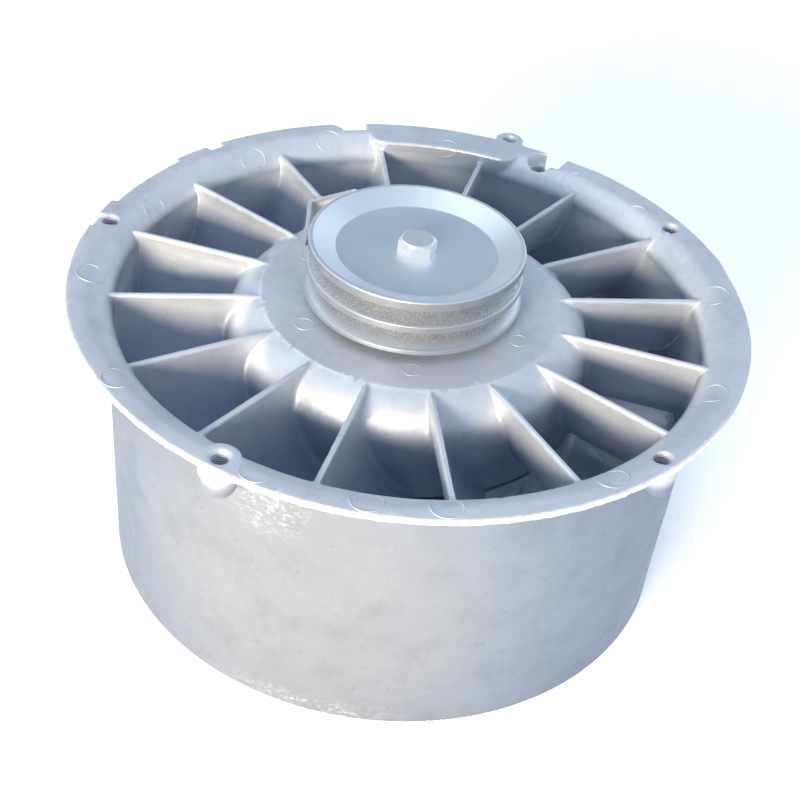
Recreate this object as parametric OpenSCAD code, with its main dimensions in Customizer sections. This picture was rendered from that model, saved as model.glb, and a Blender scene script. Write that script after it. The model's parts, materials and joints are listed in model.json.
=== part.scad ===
// Axial cooling blower of an air-cooled engine, driven by a two-groove belt pulley.
// Millimetres. The axis is Z. Z = 0 is the plane of the shroud's outlet rim, and the
// inlet flange, the guide vanes and the pulley are at the +Z end.

/* [Casing] */
// Outer radius of the inlet flange
flange_r = 190; // [188:0.5:196]
// Height of the flange's top face above the outlet rim
flange_z = 173; // [168:1:180]
// Thickness of the flange and of the inlet mouth
flange_t = 4; // [3:0.5:5]
// Inner radius of the duct
duct_r = 161; // [160:0.5:162]
// Outer radius of the duct wall just under the flange
wall_top_r = 169; // [167:0.5:170]
// Outer radius of the spigot at the outlet rim
spigot_r = 165.7; // [165:0.1:166.5]
// Length of the straight spigot at the outlet rim
spigot_len = 12; // [8:1:20]
// Radius of the rounded inlet mouth
mouth_r = 19; // [18:0.5:20]
// Radius at which the flange's flat top ends and the mouth begins
mouth_edge_r = 183; // [182:0.5:184]

/* [Flange details] */
// Radius of the circle of tapped fixing holes
fixing_r = 181; // [180:0.5:182]
// Minor radius of an M10 tapped hole
tapped_r = 4.25; // [4:0.05:4.5]
// Depth of a tapped hole
tapped_depth = 20; // [16:1:22]
// Radius of the hole in the ear
ear_hole_r = 4.5; // [3:0.25:5]
// Radius of the socket in the flange beside the ear
socket_r = 8.75; // [7:0.25:9]

/* [Guide vanes] */
// Number of guide vanes
vane_count = 16; // [12:1:18]
// Thickness of a vane
vane_t = 3.5; // [3:0.5:5]
// Radius of the vane's camber line, which starts along the axis
vane_camber_r = 64.5; // [60:0.5:80]
// Angle that the vane turns the air through
vane_turn = 60; // [40:1:62]

/* [Hub] */
// Outer radius of the hub
hub_r = 103; // [100:0.5:104]
// Radius of the step at the edge of the hub's flat face
hub_face_r = 84.5; // [84:0.5:86]
// Distance from the flange's top face down to the hub's flat face
hub_drop = 6.4; // [6:0.1:8]
// Wall thickness of the hub
hub_wall = 5; // [4:0.5:6]

/* [Pulley] */
// Outer radius of the pulley
pulley_r = 60; // [58:0.5:61]
// Distance between the two belt grooves
groove_pitch = 14.2; // [14:0.1:15]
// Width of a belt groove at the pulley's outer radius
groove_top_w = 10.4; // [10:0.1:11]
// Depth of a belt groove
groove_depth = 13; // [11:0.5:14]
// Radius of the flat floor in the pulley's front face
dish_r = 44.8; // [40:0.1:46]
// Depth of the front face's dish
dish_depth = 5.9; // [5:0.1:7]

/* [Rotor] */
// Number of rotor blades
blade_count = 10; // [8:1:12]
// Gap between the blade tips and the duct
tip_gap = 1; // [0.6:0.1:1.5]
// Length of a blade's chord
blade_chord = 60; // [52:1:62]
// Thickness of a blade at the middle of its chord
blade_t = 5; // [4:0.5:7]
// Angle of the blade's chord to the axis at the hub
stagger_hub = 46; // [40:1:50]
// Angle of the blade's chord to the axis at the tip
stagger_tip = 61; // [55:1:64]

/* [Bearings] */
// Bore radius of the bearings
brg_in_r = 15; // [14.5:0.5:15]
// Outer radius of the bearings
brg_out_r = 36; // [36:0.5:37]
// Width of a bearing
brg_w = 19; // [18:0.5:19]
// Number of balls in a bearing
ball_count = 8; // [7:1:8]
// Radius of a ball
ball_r = 6; // [5.5:0.1:6]

/* [Hidden] */
$fn = 120;

// Overlap of the vanes into the hub and the duct wall, where the casting is continuous
root_in = 1;

// Casing
mouth_z = flange_z - mouth_r;
wall_join_z = flange_z - 11;
taper_end_z = 108;
fixing_az = [169.3, -116.7, -42.7, 32.8];
boss_r = 9;
boss_len = 24;
spot_face_az = fixing_az[1];
spot_face_r = 10.6;
ear_az = 74.5;
ear_r = 194;
ear_lobe_r = 8.7;
ear_t = 9;
socket_az = 66;
socket_at = 180;
socket_wall = 2.2;
socket_len = 22;
socket_depth = 8;
socket_step = 2.25;
pad_az = [71, 102.8];
pad_in_r = 165;
// Cuts in the flange's edge: inner radius, first azimuth and last azimuth
edge_cuts = [[177, 61.8, 66], [181.6, 103.2, 108.2], [185.7, 134, 136.8], [186.5, 144.5, 163]];

// Guide vanes
vane_phase = 10.66;
vane_top_z = flange_z - 6;
pocket_vanes = [5, 6];

// Hub
hub_face_z = flange_z - hub_drop;
shoulder_r = 23.5;
hub_end_z = 108;
hub_plate_t = 7;
tube_r = 43;
tube_end_z = 91;
pocket_wall = 2.5;
pocket_depth = 44;
mark_r = 5.25;
mark_at = 67.5;
mark_phase = -146;
mark_count = 6;

// Shaft stack, from the pulley down to the nut
seal_w = 8;
circlip_w = 2.5;
seal_top_z = hub_face_z - 0.4;
circlip_z = seal_top_z - seal_w - circlip_w;
front_z = circlip_z - brg_w / 2;
lip_len = 18;
rear_z = front_z - brg_w - lip_len;
rear_seal_z = rear_z - brg_w / 2 - seal_w;
lip_r = 33;
shaft_nose_r = 12.5;
pulley_back_z = 170.9;
pulley_front_z = 204.1;
dish_z = pulley_front_z - dish_depth;
shaft_end_z = dish_z - 7;
tail_r = 12.5;
tail_z = rear_seal_z - 1;
tail_thread_r = 10;
boss_end_z = 56;
tail_end_z = 32;
nut_h = 16;
washer_t = 4;
sleeve_r = 19;
key_w = 8;
key_h = 7;

// Bearings
pitch_r = (brg_in_r + brg_out_r) / 2;
groove_gap = 0.3;
inner_land_r = 21.4;
outer_land_r = 29.6;
shield_t = 0.8;
cage_half_t = 1.6;
cage_w = 15;

// Pulley
groove_half_angle = 19;
groove_floor_half = groove_top_w / 2 - groove_depth * tan(groove_half_angle);
front_groove_z = pulley_front_z - 5.3 - groove_top_w / 2;
back_rim_r = 61;
bolt_af = 19;
bolt_head_h = 7.4;
bolt_r = 6;
bolt_len = 34;
bolt_az = 12;

// Rotor
rotor_top_z = 105;
rotor_ring_end_z = 54;
rotor_ring_t = 5;
rotor_hub_r = 102;
web_z = 60;
web_t = 7;
rotor_boss_r = 27;
rotor_rib_count = 5;
blade_top_z = rotor_top_z - 5;
blade_tip_r = duct_r - tip_gap;
blade_root_r = rotor_hub_r - 1;
blade_camber = 6;
blade_steps = 10;
blade_sections = 6;
blade_phase = 18.2;
blade_sweep = 0.386;
sweep_from_r = 125;

// Points on an arc, from angle a to angle b, as [x, y]
function arc(cx, cy, r, a, b, n) =
    [for (i = [0:n]) let (t = a + (b - a) * i / n) [cx + r * cos(t), cy + r * sin(t)]];

// A flat ring of height h, standing on z
module ring(r_in, r_out, z, h) {
    translate([0, 0, z])
        difference() {
            cylinder(r = r_out, h = h);
            translate([0, 0, -1]) cylinder(r = r_in, h = h + 2);
        }
}

// Part of a flat ring between two azimuths, standing on z
module ring_part(r_in, r_out, a, b, z, h) {
    reach = 1.3 * r_out;
    translate([0, 0, z])
        linear_extrude(h)
            intersection() {
                difference() {
                    circle(r_out);
                    circle(r_in);
                }
                polygon([
                    [0, 0],
                    [reach * cos(a), reach * sin(a)],
                    [reach * cos((a + b) / 2), reach * sin((a + b) / 2)],
                    [reach * cos(b), reach * sin(b)]
                ]);
            }
}

// Places its children at radius r, turned to azimuth az
module at(r, az) {
    rotate([0, 0, az]) translate([r, 0, 0]) children();
}

// ---- Casing ----

// Section of the duct wall, the rounded inlet mouth and the flange
module casing_section() {
    polygon(concat(
        [[duct_r, 0], [spigot_r, 0], [spigot_r, spigot_len], [wall_top_r, wall_join_z]],
        arc(mouth_edge_r, mouth_z, mouth_r - flange_t, 142, 90, 5),
        [[flange_r, flange_z - flange_t], [flange_r, flange_z]],
        arc(mouth_edge_r, mouth_z, mouth_r, 90, 180, 10),
        [[duct_r, taper_end_z]]
    ));
}

// Boss under the flange around a tapped hole, with a round end that runs into the duct wall
module fixing_boss() {
    dome_z = flange_z - boss_len + boss_r;
    rotate_extrude()
        polygon(concat(arc(0, dome_z, boss_r, -90, 0, 6), [[boss_r, flange_z], [0, flange_z]]));
    translate([-13, 2 - boss_r, dome_z - 2]) cube([13, 2 * boss_r - 4, flange_z - 7 - dome_z + 1]);
}

// Ear on the flange's edge, widening where it joins the flange
module ear() {
    translate([0, 0, flange_z - ear_t]) cylinder(r = ear_lobe_r, h = ear_t);
    translate([0, 0, flange_z - flange_t])
        linear_extrude(flange_t)
            polygon([[-12, -16], [-4.5, -15.5], [-1.5, -8.3], [-1.5, 8.3], [-4.5, 15.5], [-12, 16]]);
}

// Air above the mouth, down to just under the mouth's surface, which the bosses stay out of
module mouth_air() {
    rotate_extrude()
        polygon(concat(
            [[duct_r - 5, flange_z + 2], [mouth_edge_r, flange_z + 2]],
            arc(mouth_edge_r, mouth_z, mouth_r + 0.4, 90, 180, 10),
            [[duct_r - 5, mouth_z]]
        ));
}

// Flat pad, where the flange's top face reaches in over the mouth
module pad() {
    intersection() {
        ring_part(pad_in_r, 186, pad_az[0], pad_az[1], flange_z - 13, 13);
        rotate_extrude()
            polygon([
                [pad_in_r - 2, flange_z - 12], [172, flange_z - 5.5], [180, flange_z - 2.5],
                [187, flange_z - 2], [187, flange_z], [pad_in_r - 2, flange_z]
            ]);
    }
}

module casing() {
    color("gainsboro")
    difference() {
        union() {
            difference() {
                union() {
                    rotate_extrude() casing_section();
                    pad();
                }
                for (cut = edge_cuts) ring_part(cut[0], flange_r + 4, cut[1], cut[2], flange_z - 12, 20);
            }
            difference() {
                union() {
                    for (az = fixing_az) at(fixing_r, az) fixing_boss();
                    at(socket_at, socket_az)
                        translate([0, 0, flange_z - socket_len])
                            cylinder(r = socket_r + socket_wall, h = socket_len);
                }
                mouth_air();
            }
            at(fixing_r, spot_face_az)
                translate([0, 0, flange_z - 10]) cylinder(r = spot_face_r, h = 10);
            at(ear_r, ear_az) ear();
        }
        for (az = fixing_az)
            at(fixing_r, az) {
                translate([0, 0, flange_z - tapped_depth]) cylinder(r = tapped_r, h = tapped_depth + 1);
                translate([0, 0, flange_z - 1]) cylinder(r1 = tapped_r, r2 = tapped_r + 2, h = 2);
            }
        at(ear_r, ear_az) translate([0, 0, flange_z - ear_t - 1]) cylinder(r = ear_hole_r, h = ear_t + 2);
        at(socket_at, socket_az) {
            translate([0, 0, flange_z - socket_depth]) cylinder(r = socket_r, h = socket_depth + 2);
            translate([0, 0, flange_z - socket_len - 2]) cylinder(r = socket_r - socket_step, h = socket_len);
        }
    }
}

// ---- Guide vanes ----

// Outline of one vane across its span: X is around the axis and Y is along it
module vane_outline() {
    half = vane_t / 2;
    r = vane_camber_r;
    tail = [r - r * cos(vane_turn), -r * sin(vane_turn)];
    polygon(concat(
        arc(r, 0, r - half, 180, 180 + vane_turn, 10),
        arc(tail[0], tail[1], half * 0.98, vane_turn - 30, vane_turn - 150, 4),
        arc(r, 0, r + half, 180 + vane_turn, 180, 10),
        arc(0, 0, half * 0.98, 150, 30, 4)
    ));
}

// Section of the air passage between the hub and the duct, let into both by root_in
module passage_section() {
    polygon(concat(
        [[hub_r - root_in, hub_end_z]],
        arc(hub_r - shoulder_r, hub_face_z - shoulder_r, shoulder_r - root_in, 0, 77, 8),
        [[hub_face_r - 0.5, flange_z + 2], [mouth_edge_r, flange_z + 2]],
        arc(mouth_edge_r, mouth_z, mouth_r - root_in, 90, 180, 8),
        [[duct_r + root_in, hub_end_z]]
    ));
}

module guide_vanes() {
    color("lightsteelblue")
    for (k = [0:vane_count - 1])
        rotate([0, 0, vane_phase + k * 360 / vane_count])
            difference() {
                intersection() {
                    rotate([90, 0, 90])
                        linear_extrude(mouth_edge_r)
                            translate([0, vane_top_z - vane_t / 2]) vane_outline();
                    rotate_extrude() passage_section();
                }
                if (k == pocket_vanes[0] || k == pocket_vanes[1])
                    rotate([0, 0, -vane_phase - k * 360 / vane_count]) pocket_prism(0.5, pocket_depth, 20);
            }
}

// ---- Hub ----

// Corners of the pocket that bulges out of the hub, grown inwards by w
function pocket_corners(w) = [
    [-67.5 + w, 40], [-67.5 + w, 60], [-69.5 + w, 91.5 - 0.6 * w], [-42.5 - 0.3 * w, 107 - 1.1 * w],
    [-28 - w, 96 - w], [-22 - w, 60]
];

// Prism on the pocket's corners, from its floor up to z above the hub's face
module pocket_prism(w, depth, above) {
    translate([0, 0, hub_face_z - depth])
        linear_extrude(depth + above) polygon(pocket_corners(w));
}

// Section of the hub's shell: face, shoulder, skirt and bearing tube
module hub_section() {
    c = hub_face_z - shoulder_r;
    in_r = shoulder_r - hub_wall;
    polygon(concat(
        [[brg_out_r, hub_face_z], [hub_face_r, hub_face_z]],
        arc(hub_r - shoulder_r, c, shoulder_r, 77, 0, 10),
        [[hub_r, hub_end_z], [hub_r - hub_wall, hub_end_z]],
        arc(hub_r - shoulder_r, c, in_r, 0, 80, 8),
        [[tube_r, hub_face_z - hub_plate_t], [tube_r, tube_end_z], [brg_out_r, tube_end_z]]
    ));
}

module stator_hub() {
    color("silver")
    difference() {
        union() {
            rotate_extrude() hub_section();
            ring(lip_r, brg_out_r + 1, rear_z + brg_w / 2, lip_len);
            intersection() {
                pocket_prism(0, pocket_depth, 0);
                ring(80, 140, hub_face_z - pocket_depth, pocket_depth);
            }
        }
        translate([0, 0, pocket_wall])
            intersection() {
                pocket_prism(pocket_wall, pocket_depth, 1);
                ring(74, 140, hub_face_z - pocket_depth, pocket_depth + 2);
            }
        // Groove of the bearing circlip
        ring(brg_out_r - 1, brg_out_r + 1.6, circlip_z - 0.1, circlip_w + 0.2);
        // Round marks of the ejector pins on the face
        for (k = [0:mark_count - 1])
            at(mark_at, mark_phase + k * 360 / mark_count)
                ring(mark_r - 0.5, mark_r, hub_face_z - 0.3, 1);
    }
}

// ---- Bearings and seals ----

// Fills the casing's bore with a lip seal around the sleeve on the shaft
module shaft_seal(z) {
    color("dimgray")
    rotate_extrude()
        polygon([
            [sleeve_r + 4, z], [brg_out_r, z], [brg_out_r, z + seal_w], [sleeve_r + 0.4, z + seal_w],
            [sleeve_r + 0.4, z + seal_w - 2.5], [sleeve_r + 4, z + 2.5]
        ]);
}

module front_shaft_seal() {
    shaft_seal(seal_top_z - seal_w);
}

module rear_shaft_seal() {
    shaft_seal(rear_seal_z);
}

module bearing_circlip() {
    color("darkslategray")
    difference() {
        ring(brg_out_r - 3, brg_out_r + 1.4, circlip_z, circlip_w);
        translate([20, -5, circlip_z - 1]) cube([30, 10, circlip_w + 2]);
    }
}

// A race ring with the ball groove, centred on height z
module race(r_in, r_out, z) {
    color("lightgray")
    translate([0, 0, z])
        rotate_extrude()
            difference() {
                translate([r_in, -brg_w / 2]) square([r_out - r_in, brg_w]);
                translate([pitch_r, 0]) circle(ball_r + groove_gap, $fn = 64);
            }
}

module balls(z) {
    color("white")
    for (k = [0:ball_count - 1])
        at(pitch_r, k * 360 / ball_count) translate([0, 0, z]) sphere(ball_r, $fn = 48);
}

module cage(z) {
    color("goldenrod")
    difference() {
        ring(pitch_r - cage_half_t, pitch_r + cage_half_t, z - cage_w / 2, cage_w);
        for (k = [0:ball_count - 1])
            at(pitch_r, k * 360 / ball_count) translate([0, 0, z]) sphere(ball_r + 0.15, $fn = 48);
    }
}

module shields(z) {
    color("darkgray")
    for (s = [-1, 1])
        translate([0, 0, z + s * (brg_w / 2 - 1) - shield_t / 2])
            ring(inner_land_r + 0.6, outer_land_r + 0.4, 0, shield_t);
}

// Outer race with a small seat on each side for its shield
module outer_race(z) {
    difference() {
        race(outer_land_r, brg_out_r, z);
        for (s = [-1, 1])
            translate([0, 0, z + s * (brg_w / 2 - 1) - shield_t / 2])
                cylinder(r = outer_land_r + 0.4, h = shield_t);
    }
}

module front_outer_race() {
    outer_race(front_z);
}

module rear_outer_race() {
    outer_race(rear_z);
}

module front_shields() {
    shields(front_z);
}

module rear_shields() {
    shields(rear_z);
}

module front_inner_race() {
    race(brg_in_r, inner_land_r, front_z);
}

module rear_inner_race() {
    race(brg_in_r, inner_land_r, rear_z);
}

module front_balls() {
    balls(front_z);
}

module rear_balls() {
    balls(rear_z);
}

module front_cage() {
    cage(front_z);
}

module rear_cage() {
    cage(rear_z);
}

// ---- Shaft ----

// Slot for a key at radius r, from height z up by len
module key_slot(r, z, len) {
    translate([r - key_h / 2 - 0.5, -key_w / 2, z]) cube([key_h + 0.5, key_w, len]);
}

module shaft() {
    nose_z = front_z + brg_w / 2;
    color("slategray")
    difference() {
        union() {
            translate([0, 0, tail_end_z]) cylinder(r = tail_thread_r, h = boss_end_z - tail_end_z + 1);
            translate([0, 0, boss_end_z]) cylinder(r = tail_r, h = tail_z - boss_end_z);
            translate([0, 0, tail_z]) cylinder(r = brg_in_r, h = nose_z - tail_z);
            translate([0, 0, nose_z - 1]) cylinder(r = shaft_nose_r, h = shaft_end_z - nose_z + 1);
        }
        translate([0, 0, shaft_end_z - bolt_len]) cylinder(r = bolt_r, h = bolt_len + 1);
        key_slot(shaft_nose_r, pulley_back_z + 2, 16);
        key_slot(tail_r, boss_end_z + 5, 20);
    }
}

module bearing_spacer() {
    color("silver")
    ring(brg_in_r, sleeve_r, rear_z + brg_w / 2, lip_len);
}

module pulley_spacer() {
    color("silver")
    ring(shaft_nose_r, sleeve_r, front_z + brg_w / 2, pulley_back_z - front_z - brg_w / 2);
}

module key(r, z, len) {
    color("gold")
    translate([r - key_h / 2 - 0.5, -key_w / 2, z]) cube([key_h, key_w, len]);
}

module pulley_key() {
    key(shaft_nose_r, pulley_back_z + 2, 16);
}

module impeller_key() {
    key(tail_r, boss_end_z + 5, 20);
}

// ---- Pulley ----

module pulley_section() {
    g1 = front_groove_z;
    g2 = front_groove_z - groove_pitch;
    half = groove_top_w / 2;
    floor_r = pulley_r - groove_depth;
    polygon([
        [bolt_r + 0.5, dish_z], [dish_r, dish_z], [pulley_r - 2.5, pulley_front_z],
        [pulley_r - 0.8, pulley_front_z], [pulley_r, pulley_front_z - 0.8], [pulley_r, g1 + half],
        [floor_r, g1 + groove_floor_half], [floor_r, g1 - groove_floor_half], [pulley_r, g1 - half],
        [pulley_r, g2 + half], [floor_r, g2 + groove_floor_half], [floor_r, g2 - groove_floor_half],
        [pulley_r, g2 - half], [back_rim_r, g2 - half - 0.5], [back_rim_r, pulley_back_z + 0.8],
        [back_rim_r - 0.8, pulley_back_z], [floor_r - 6, pulley_back_z], [floor_r - 7, dish_z - 9],
        [23, dish_z - 9], [22, pulley_back_z], [shaft_nose_r, pulley_back_z],
        [shaft_nose_r, shaft_end_z], [bolt_r + 0.5, shaft_end_z]
    ]);
}

module pulley() {
    color("lightslategray")
    difference() {
        rotate_extrude() pulley_section();
        translate([shaft_nose_r - 1, -key_w / 2, pulley_back_z - 1]) cube([key_h / 2 + 0.5, key_w, 19]);
    }
}

module pulley_bolt() {
    color("whitesmoke")
    rotate([0, 0, bolt_az]) {
        translate([0, 0, shaft_end_z - bolt_len + 4])
            cylinder(r = bolt_r, h = dish_z - shaft_end_z + bolt_len - 4);
        intersection() {
            translate([0, 0, dish_z]) cylinder(r = bolt_af / 2 / cos(30), h = bolt_head_h, $fn = 6);
            rotate_extrude()
                polygon([
                    [0, dish_z], [12, dish_z], [12, dish_z + bolt_head_h - 1.4],
                    [9, dish_z + bolt_head_h], [0, dish_z + bolt_head_h]
                ]);
        }
    }
}

// ---- Rotor ----

module impeller_hub() {
    in_r = rotor_hub_r - rotor_ring_t;
    color("darkseagreen")
    difference() {
        union() {
            rotate_extrude()
                polygon([
                    [tail_r, boss_end_z], [rotor_boss_r, boss_end_z], [rotor_boss_r + 2, web_z],
                    [in_r - 4, web_z], [in_r, web_z - 3], [in_r, rotor_ring_end_z],
                    [rotor_hub_r, rotor_ring_end_z], [rotor_hub_r, rotor_top_z], [in_r, rotor_top_z],
                    [in_r - 1, web_z + web_t + 4], [in_r - 5, web_z + web_t],
                    [rotor_boss_r + 4, web_z + web_t], [rotor_boss_r, web_z + web_t + 4],
                    [rotor_boss_r - 4, tail_z - 6], [tail_r, tail_z - 6]
                ]);
            for (k = [0:rotor_rib_count - 1])
                rotate([0, 0, 36 + k * 360 / rotor_rib_count])
                    translate([rotor_boss_r - 2, -2.5, web_z + web_t - 1])
                        cube([in_r - rotor_boss_r + 2, 5, 10]);
        }
        translate([tail_r - 1, -key_w / 2, boss_end_z - 1]) cube([key_h / 2 + 0.5, key_w, 40]);
    }
}

// Blade outline points at radius r: x is around the axis and y along it, from the leading edge
function blade_outline(stagger) = [
    for (i = [0:2 * blade_steps - 1])
        let (
            upper = i <= blade_steps,
            s = (upper ? i : 2 * blade_steps - i) / blade_steps,
            side = upper ? 1 : -1,
            half = blade_t / 2 * (0.25 + 0.75 * sqrt(max(0, 1 - pow(2 * s - 0.9, 2) / 1.3))),
            x = s * blade_chord,
            y = blade_camber * 4 * s * (1 - s) + side * half
        )
        [x * sin(stagger) + y * cos(stagger), -x * cos(stagger) + y * sin(stagger)]
];

module blade() {
    n = 2 * blade_steps;
    m = blade_sections;
    points = [
        for (j = [0:m])
            let (
                r = blade_root_r + (blade_tip_r - blade_root_r) * j / m,
                stagger = stagger_hub + (stagger_tip - stagger_hub) * j / m,
                lead = blade_phase + blade_sweep * (r - sweep_from_r)
            )
            for (p = blade_outline(stagger))
                let (az = lead + p[0] / r * 180 / PI)
                [r * cos(az), r * sin(az), blade_top_z - blade_t / 2 + p[1]]
    ];
    sides = [
        for (j = [0:m - 1], i = [0:n - 1])
            let (a = j * n + i, b = j * n + (i + 1) % n)
            each [[a, b, a + n], [b, b + n, a + n]]
    ];
    root = [for (i = [0:n - 1]) n - 1 - i];
    tip = [for (i = [0:n - 1]) m * n + i];
    polyhedron(points, concat(sides, [root, tip]), convexity = 4);
}

module impeller_blades() {
    color("darkkhaki")
    for (k = [0:blade_count - 1])
        rotate([0, 0, k * 360 / blade_count]) mirror([0, 1, 0]) blade();
}

// Sleeve between the rear inner race and the impeller's boss, which the rear seal runs on
module impeller_collar() {
    color("silver")
    difference() {
        ring(tail_r, sleeve_r, tail_z - 6, rear_z - brg_w / 2 - tail_z + 6);
        translate([0, 0, tail_z]) cylinder(r = brg_in_r, h = 30);
    }
}

module impeller_washer() {
    color("silver")
    ring(tail_thread_r + 0.5, 19, boss_end_z - washer_t, washer_t);
}

module impeller_nut() {
    z = boss_end_z - washer_t - nut_h;
    color("whitesmoke")
    difference() {
        intersection() {
            translate([0, 0, z]) cylinder(r = 15 / cos(30), h = nut_h, $fn = 6);
            rotate_extrude()
                polygon([
                    [0, z], [14.2, z], [17.4, z + 1.8], [17.4, z + nut_h - 1.8],
                    [14.2, z + nut_h], [0, z + nut_h]
                ]);
        }
        translate([0, 0, z - 1]) cylinder(r = tail_thread_r, h = nut_h + 2);
    }
}

casing();
guide_vanes();
stator_hub();
front_shaft_seal();
rear_shaft_seal();
bearing_circlip();
front_outer_race();
rear_outer_race();
front_shields();
rear_shields();
front_inner_race();
rear_inner_race();
front_balls();
rear_balls();
front_cage();
rear_cage();
shaft();
bearing_spacer();
pulley_spacer();
pulley();
pulley_key();
pulley_bolt();
impeller_hub();
impeller_blades();
impeller_key();
impeller_collar();
impeller_washer();
impeller_nut();
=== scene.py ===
"""Looks of the axial cooling blower: cast shell, belt pulley, rotor, materials, light and camera."""

import json
import math

import bmesh
import bpy
import numpy as np
import openvdb
from mathutils import Matrix, Vector


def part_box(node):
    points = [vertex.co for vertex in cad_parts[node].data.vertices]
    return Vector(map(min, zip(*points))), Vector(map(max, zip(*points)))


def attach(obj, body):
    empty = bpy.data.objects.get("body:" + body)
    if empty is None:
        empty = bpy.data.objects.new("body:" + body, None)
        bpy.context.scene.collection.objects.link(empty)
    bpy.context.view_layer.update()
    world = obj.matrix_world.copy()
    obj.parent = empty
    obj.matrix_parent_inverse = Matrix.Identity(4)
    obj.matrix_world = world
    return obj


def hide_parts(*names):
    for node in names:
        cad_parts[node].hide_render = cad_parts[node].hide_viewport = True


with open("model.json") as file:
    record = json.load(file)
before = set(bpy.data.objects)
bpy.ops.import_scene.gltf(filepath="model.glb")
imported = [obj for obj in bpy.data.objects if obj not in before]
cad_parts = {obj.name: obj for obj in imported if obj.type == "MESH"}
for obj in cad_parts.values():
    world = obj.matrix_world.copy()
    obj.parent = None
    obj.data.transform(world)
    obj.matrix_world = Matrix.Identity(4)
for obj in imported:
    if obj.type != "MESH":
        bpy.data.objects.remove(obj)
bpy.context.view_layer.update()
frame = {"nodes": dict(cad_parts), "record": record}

# Lengths are in millimetres, in the CAD's own frame: Z is the axis, 0 is the outlet rim. The
# materials, the floor and the lights are in metres.
MM = 0.001
FLANGE_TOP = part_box("casing")[1].z / MM
FLANGE_R = 190.0
FLANGE_T = 4.0
DUCT_R = 161.0
WALL_TOP_R = 169.0
SPIGOT_R = 165.7
SPIGOT_LEN = 12.0
SWELL_Z = 84.0
SWELL_REACH = 24.0
MOUTH_R = 19.0
MOUTH_EDGE_R = 183.0
MOUTH_Z = FLANGE_TOP - MOUTH_R
TAPER_END = 108.0

FIXING_R = 181.0
FIXING_AZ = (169.3, -116.7, -42.7, 32.8)
SPOT_FACE_AZ = FIXING_AZ[1]
SPOT_FACE_R = 10.6
TAP_MAJOR_R = 5.0
TAP_MINOR_R = 4.25
TAP_DEPTH = 20.0
TAP_PITCH = 1.5
BOSS_R = 9.0
BOSS_LEN = 24.0
EAR_AZ = 74.5
EAR_R = 194.0
EAR_LOBE_R = 8.7
EAR_T = 9.0
EAR_HOLE_R = 4.5
SOCKET_AZ = 66.0
SOCKET_AT = 180.0
SOCKET_R = 8.75
SOCKET_WALL = 2.2
SOCKET_LEN = 22.0
SOCKET_DEPTH = 8.0
SOCKET_STEP = 2.25
PAD_AZ = (71.0, 102.8)
PAD_IN_R = 165.0
PAD_CORNER = 1.5
# Cuts in the flange's edge: inner radius, first azimuth, last azimuth
EDGE_CUTS = ((177.0, 61.8, 66.0), (181.6, 103.2, 108.2), (185.7, 134.0, 136.8), (186.5, 144.5, 163.0))
# Where the ejector pins left a ring on the mouth: radius, azimuth
PIN_MARKS = (
    (168.5, 159.0), (177.0, -173.0), (169.5, 130.0), (173.5, 112.0), (167.0, 86.5),
    (173.0, 57.0), (173.0, 40.5), (176.5, 10.0), (175.0, -21.0), (180.0, -142.0),
    (180.0, -110.5), (180.0, -93.0), (180.0, -81.0), (178.0, -53.0),
)
PIN_R = 8.2
HUB_PIN_R = 5.2
HUB_PIN_AT = 67.5
HUB_PIN_AZ = tuple(-146.0 + 60.0 * k for k in range(6))

VANE_COUNT = 16
VANE_PITCH = 360.0 / VANE_COUNT
VANE_PHASE = 10.66
VANE_T = 3.5
VANE_FLAT = 0.1
VANE_CAMBER_R = 64.5
VANE_TURN = 60.0
VANE_TOP = FLANGE_TOP - 6.0
VANE_DROP = 66.0

HUB_R = 103.0
HUB_FACE_R = 84.5
HUB_FACE = FLANGE_TOP - 6.4
HUB_WALL = 5.0
HUB_END = 108.0
SHOULDER_R = 23.5
TUBE_R = 43.0
TUBE_END = 91.0
BORE_R = 36.0
POCKET_DEPTH = 44.0
POCKET_WALL = 2.5
POCKET_OUT_R = 82.0
POCKET_IN_R = 76.0

VOXEL = 0.9
ADAPTIVITY = 0.08
BAND = 3.0


# ---- Fields: signed distances in millimetres, negative inside the metal ----


def arc(cx, cy, r, start, end, n):
    """Points on an arc, with the angles in degrees."""
    turns = [math.radians(start + (end - start) * i / n) for i in range(n + 1)]
    return [(cx + r * math.cos(t), cy + r * math.sin(t)) for t in turns]


def polygon_field(points, x, y):
    """Signed distance from each place (x, y) to a polygon."""
    best = np.full(np.broadcast(x, y).shape, 1e9, np.float32)
    inside = np.zeros(best.shape, bool)
    for (ax, ay), (bx, by) in zip(points, points[1:] + points[:1]):
        ex, ey = bx - ax, by - ay
        px, py = x - ax, y - ay
        along = np.clip((px * ex + py * ey) / max(ex * ex + ey * ey, 1e-9), 0, 1)
        best = np.minimum(best, (px - ex * along) ** 2 + (py - ey * along) ** 2)
        if ay != by:
            crosses = (ay > y) != (by > y)
            inside ^= crosses & (x < ax + (y - ay) * ex / ey)
    distance = np.sqrt(best)
    return np.where(inside, -distance, distance).astype(np.float32)


def blend_union(a, b, k):
    """Union of two fields with a fillet of about k."""
    h = np.maximum(k - np.abs(a - b), 0) / k
    return np.minimum(a, b) - h * h * k * 0.25


def blend_cut(a, b, k):
    """Field a with field b cut out of it, and the edge rounded by about k."""
    return -blend_union(-a, b, k)


def soft_step(x, width):
    """0 below minus half the width, 1 above half the width, and smooth between."""
    t = np.clip(x / width + 0.5, 0, 1)
    return t * t * (3 - 2 * t)


def rounded_corner(a, b, radius):
    """Intersection of two fields, with the outside corner rounded."""
    p, q = a + radius, b + radius
    return np.hypot(np.maximum(p, 0), np.maximum(q, 0)) + np.minimum(np.maximum(p, q), 0) - radius


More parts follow.
